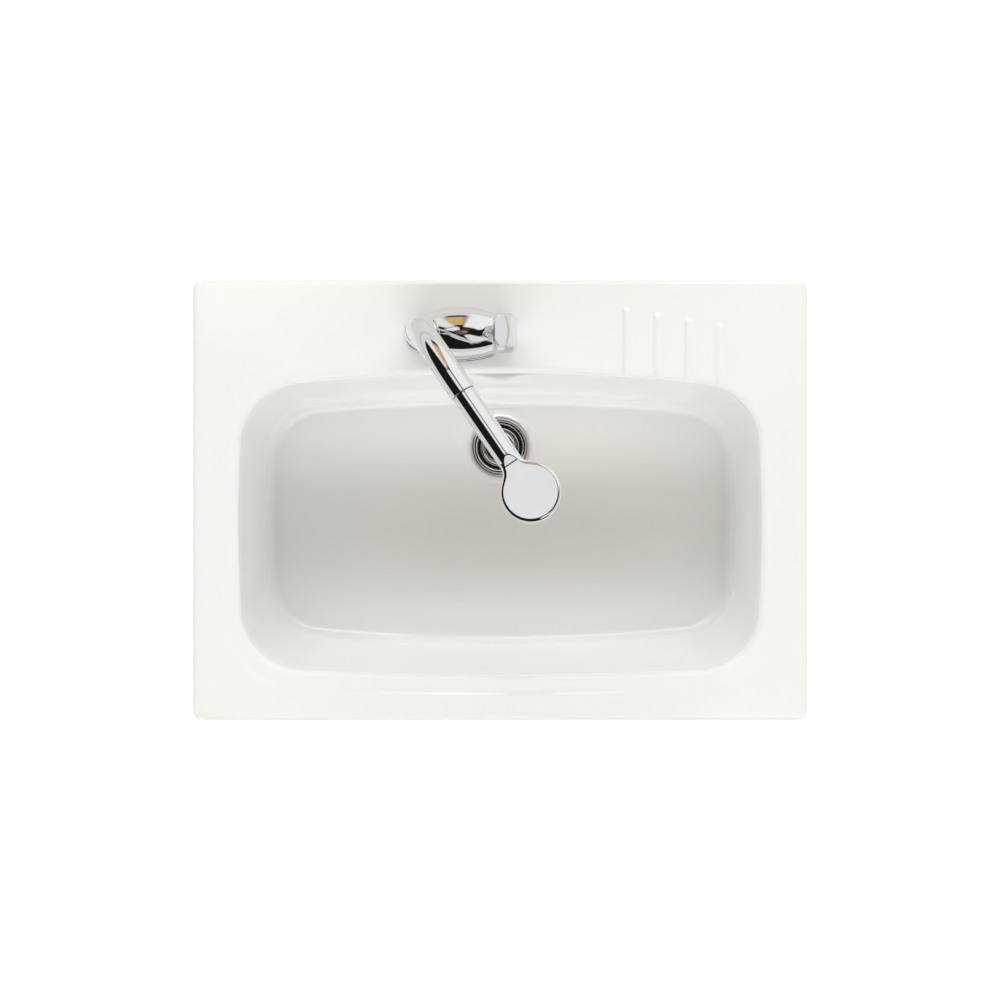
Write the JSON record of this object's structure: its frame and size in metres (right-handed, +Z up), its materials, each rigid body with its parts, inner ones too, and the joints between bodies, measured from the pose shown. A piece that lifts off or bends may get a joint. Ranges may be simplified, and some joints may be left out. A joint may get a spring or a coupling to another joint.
{
  "type": "ceramic kitchen sink",
  "caption": "Rectangular white ceramic inset sink with a rounded deep bowl, ribbed deck, chrome swivelling pull-out mixer tap with a side lever, and a stoppered waste.",
  "frame": {"origin": "middle of the rim's underside, on the plane of the skirt's lower face", "axes": "+X right along the width, +Y towards the wall and the tap, +Z up"},
  "size_m": [0.6, 0.43, 0.4278],
  "materials": {
    "glazed_ceramic": "smooth white glaze",
    "chrome_plate": "polished chrome plate",
    "yellow_brass": "machined",
    "stainless_steel": "bright rolled",
    "zinc_steel": "zinc plated",
    "black_rubber": "matte",
    "grey_silicone": "soft matte",
    "white_acetal": "moulded",
    "grey_plastic": "moulded",
    "valve_ceramic": "lapped"
  },
  "bodies": {
    "sink": {"sink_basin": "glazed_ceramic", "waste_body": "chrome_plate", "waste_upper_seal": "black_rubber", "waste_lower_seal": "black_rubber", "waste_slip_washer": "white_acetal", "waste_backnut": "yellow_brass", "tap_body": "chrome_plate", "tap_base_gasket": "black_rubber", "tap_fixing_stud": "zinc_steel", "tap_fixing_rubber": "black_rubber", "tap_fixing_plate": "zinc_steel", "tap_fixing_nut": "yellow_brass", "cartridge_base_seal": "black_rubber", "cartridge_housing": "white_acetal", "cartridge_fixed_disc": "valve_ceramic", "cartridge_dome_nut": "chrome_plate", "spout_upper_bush": "white_acetal", "spout_lower_bush": "white_acetal", "spout_o_rings": "black_rubber", "spout_wear_ring": "white_acetal"},
    "stopper": {"stopper_cap": "chrome_plate", "stopper_seal": "black_rubber", "stopper_guide": "grey_plastic"},
    "temperature_rotor": {"cartridge_rotor": "white_acetal", "cartridge_pin": "stainless_steel"},
    "mixing_disc": {"cartridge_moving_disc": "valve_ceramic", "cartridge_disc_carrier": "white_acetal"},
    "lever": {"cartridge_stem": "yellow_brass", "lever_handle": "chrome_plate", "lever_grub_screw": "stainless_steel", "lever_screw_plug": "grey_plastic"},
    "spout": {"spout_spigot": "yellow_brass", "spout_retaining_ring": "stainless_steel", "spout_neck": "chrome_plate", "spout_dock_bush": "grey_plastic"},
    "handset": {"handset_shank": "yellow_brass", "handset_check_valve": "white_acetal", "handset_shell": "chrome_plate", "spray_plate": "grey_plastic", "spray_nozzle_mat": "grey_silicone", "spray_aerator": "stainless_steel"}
  },
  "joints": [
    {"name": "spout_swivel", "type": "hinge", "parent": "sink", "child": "spout", "pos_m": [-0.0765, 0.161, 0.1], "axis": [0, 0, 1], "range_deg": [-109.2, 40.8]},
    {"name": "handset_pull_out", "type": "slide", "parent": "spout", "child": "handset", "axis": [0.5552, -0.8169, 0.1564], "range_m": [0, 0.15]},
    {"name": "lever_temperature", "type": "hinge", "parent": "sink", "child": "temperature_rotor", "pos_m": [-0.014, 0.161, 0.069], "axis": [1, 0, 0], "range_deg": [-40, 40]},
    {"name": "lever_flow", "type": "hinge", "parent": "temperature_rotor", "child": "lever", "pos_m": [-0.014, 0.161, 0.069], "axis": [0, 1, 0], "range_deg": [0, 20]},
    {"name": "mixing_disc_slide", "type": "slide", "parent": "temperature_rotor", "child": "mixing_disc", "axis": [0, 0, 1], "range_m": [0, 0.00402]},
    {"name": "stopper_lift", "type": "slide", "parent": "sink", "child": "stopper", "axis": [0, 0, 1], "range_m": [0, 0.05]}
  ],
  "couplings": [
    {"joint": "mixing_disc_slide", "follows": "lever_flow", "m_per_rad": 0.0115}
  ]
}
